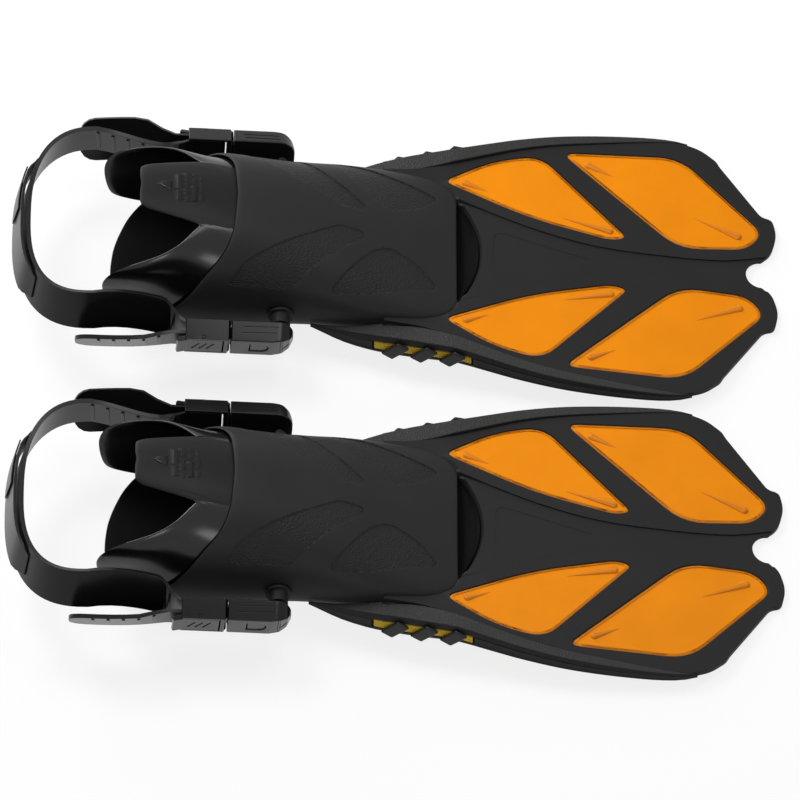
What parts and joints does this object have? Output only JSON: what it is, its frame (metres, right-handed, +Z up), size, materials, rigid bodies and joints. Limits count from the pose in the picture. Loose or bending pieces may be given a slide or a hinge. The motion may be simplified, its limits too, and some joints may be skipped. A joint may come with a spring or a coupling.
{
  "type": "swim fins",
  "caption": "Pair of open-heel swim fins: rubber foot pockets, heel straps with quick-release buckles, side rails and split-tip blades with orange window panels.",
  "frame": {"origin": "on the floor, midway between the fins and midway between the blade tips and the backs of the straps", "axes": "+X from the heel straps to the blade tips, +Y to the left fin, +Z up"},
  "size_m": [0.5192, 0.465, 0.1021],
  "materials": {
    "pocket_rubber": "matte",
    "soft_rubber": "satin",
    "rail_rubber": "matte, textured",
    "buckle_plastic": "gloss",
    "window_orange": "satin, slightly translucent",
    "core_yellow": "satin"
  },
  "bodies": {
    "left_fin": {"left_foot_pocket": "pocket_rubber", "left_inner_cuff": "soft_rubber", "left_heel_tread": "soft_rubber", "left_blade_frame": "pocket_rubber", "left_outboard_toe_window": "window_orange", "left_inboard_toe_window": "window_orange", "left_outboard_tip_window": "window_orange", "left_inboard_tip_window": "window_orange", "left_outboard_rail": "rail_rubber", "left_inboard_rail": "rail_rubber", "left_outboard_rail_core": "core_yellow", "left_inboard_rail_core": "core_yellow", "left_outboard_rail_wraps": "pocket_rubber", "left_inboard_rail_wraps": "pocket_rubber", "left_strap_posts": "buckle_plastic"},
    "left_outboard_buckle": {"left_outboard_receiver": "buckle_plastic"},
    "left_inboard_buckle": {"left_inboard_receiver": "buckle_plastic"},
    "left_strap": {"left_heel_strap": "soft_rubber", "left_finger_pull": "soft_rubber", "left_heel_badge": "buckle_plastic", "left_outboard_plug": "buckle_plastic", "left_inboard_plug": "buckle_plastic", "left_lever_pins": "buckle_plastic"},
    "left_outboard_cam": {"left_outboard_lever": "buckle_plastic"},
    "left_outboard_catch": {"left_outboard_latch": "buckle_plastic"},
    "left_inboard_cam": {"left_inboard_lever": "buckle_plastic"},
    "left_inboard_catch": {"left_inboard_latch": "buckle_plastic"},
    "right_fin": {"right_foot_pocket": "pocket_rubber", "right_inner_cuff": "soft_rubber", "right_heel_tread": "soft_rubber", "right_blade_frame": "pocket_rubber", "right_outboard_toe_window": "window_orange", "right_inboard_toe_window": "window_orange", "right_outboard_tip_window": "window_orange", "right_inboard_tip_window": "window_orange", "right_outboard_rail": "rail_rubber", "right_inboard_rail": "rail_rubber", "right_outboard_rail_core": "core_yellow", "right_inboard_rail_core": "core_yellow", "right_outboard_rail_wraps": "pocket_rubber", "right_inboard_rail_wraps": "pocket_rubber", "right_strap_posts": "buckle_plastic"},
    "right_outboard_buckle": {"right_outboard_receiver": "buckle_plastic"},
    "right_inboard_buckle": {"right_inboard_receiver": "buckle_plastic"},
    "right_strap": {"right_heel_strap": "soft_rubber", "right_finger_pull": "soft_rubber", "right_heel_badge": "buckle_plastic", "right_outboard_plug": "buckle_plastic", "right_inboard_plug": "buckle_plastic", "right_lever_pins": "buckle_plastic"},
    "right_outboard_cam": {"right_outboard_lever": "buckle_plastic"},
    "right_outboard_catch": {"right_outboard_latch": "buckle_plastic"},
    "right_inboard_cam": {"right_inboard_lever": "buckle_plastic"},
    "right_inboard_catch": {"right_inboard_latch": "buckle_plastic"}
  },
  "joints": [
    {"name": "right_fin_lift", "type": "slide", "parent": "left_fin", "child": "right_fin", "axis": [0, 0, 1], "range_m": [0, 0.15]},
    {"name": "left_outboard_swing", "type": "hinge", "parent": "left_fin", "child": "left_outboard_buckle", "pos_m": [-0.07756, 0.20045, 0.035], "axis": [0, 1, 0], "range_deg": [-10, 55]},
    {"name": "left_inboard_swing", "type": "hinge", "parent": "left_fin", "child": "left_inboard_buckle", "pos_m": [-0.07756, 0.03755, 0.035], "axis": [0, 1, 0], "range_deg": [-10, 55]},
    {"name": "left_strap_release", "type": "slide", "parent": "left_outboard_buckle", "child": "left_strap", "axis": [-0.9976, 0, 0.0698], "range_m": [0, 0.035]},
    {"name": "left_outboard_cam_lift", "type": "hinge", "parent": "left_strap", "child": "left_outboard_cam", "pos_m": [-0.12957, 0.20571, 0.03672], "axis": [-0.0655, -0.342, -0.9374], "range_deg": [0, 10], "stiffness_Nm_per_rad": 0.05},
    {"name": "left_outboard_catch_press", "type": "hinge", "parent": "left_strap", "child": "left_outboard_catch", "pos_m": [-0.11285, 0.20332, 0.03642], "axis": [-0.0655, -0.342, -0.9374], "range_deg": [0, 5], "stiffness_Nm_per_rad": 0.08},
    {"name": "left_inboard_cam_lift", "type": "hinge", "parent": "left_strap", "child": "left_inboard_cam", "pos_m": [-0.12957, 0.03229, 0.03672], "axis": [0.0655, -0.342, 0.9374], "range_deg": [0, 10], "stiffness_Nm_per_rad": 0.05},
    {"name": "left_inboard_catch_press", "type": "hinge", "parent": "left_strap", "child": "left_inboard_catch", "pos_m": [-0.11285, 0.03468, 0.03642], "axis": [0.0655, -0.342, 0.9374], "range_deg": [0, 5], "stiffness_Nm_per_rad": 0.08},
    {"name": "right_outboard_swing", "type": "hinge", "parent": "right_fin", "child": "right_outboard_buckle", "pos_m": [-0.07756, -0.20045, 0.035], "axis": [0, 1, 0], "range_deg": [-10, 55]},
    {"name": "right_inboard_swing", "type": "hinge", "parent": "right_fin", "child": "right_inboard_buckle", "pos_m": [-0.07756, -0.03755, 0.035], "axis": [0, 1, 0], "range_deg": [-10, 55]},
    {"name": "right_strap_release", "type": "slide", "parent": "right_outboard_buckle", "child": "right_strap", "axis": [-0.9976, 0, 0.0698], "range_m": [0, 0.035]},
    {"name": "right_outboard_cam_lift", "type": "hinge", "parent": "right_strap", "child": "right_outboard_cam", "pos_m": [-0.12957, -0.20571, 0.03672], "axis": [0.0655, -0.342, 0.9374], "range_deg": [0, 10], "stiffness_Nm_per_rad": 0.05},
    {"name": "right_outboard_catch_press", "type": "hinge", "parent": "right_strap", "child": "right_outboard_catch", "pos_m": [-0.11285, -0.20332, 0.03642], "axis": [0.0655, -0.342, 0.9374], "range_deg": [0, 5], "stiffness_Nm_per_rad": 0.08},
    {"name": "right_inboard_cam_lift", "type": "hinge", "parent": "right_strap", "child": "right_inboard_cam", "pos_m": [-0.12957, -0.03229, 0.03672], "axis": [-0.0655, -0.342, -0.9374], "range_deg": [0, 10], "stiffness_Nm_per_rad": 0.05},
    {"name": "right_inboard_catch_press", "type": "hinge", "parent": "right_strap", "child": "right_inboard_catch", "pos_m": [-0.11285, -0.03468, 0.03642], "axis": [-0.0655, -0.342, -0.9374], "range_deg": [0, 5], "stiffness_Nm_per_rad": 0.08}
  ],
  "couplings": [
    {"joint": "left_inboard_swing", "follows": "left_outboard_swing", "ratio": 1},
    {"joint": "right_inboard_swing", "follows": "right_outboard_swing", "ratio": 1}
  ]
}
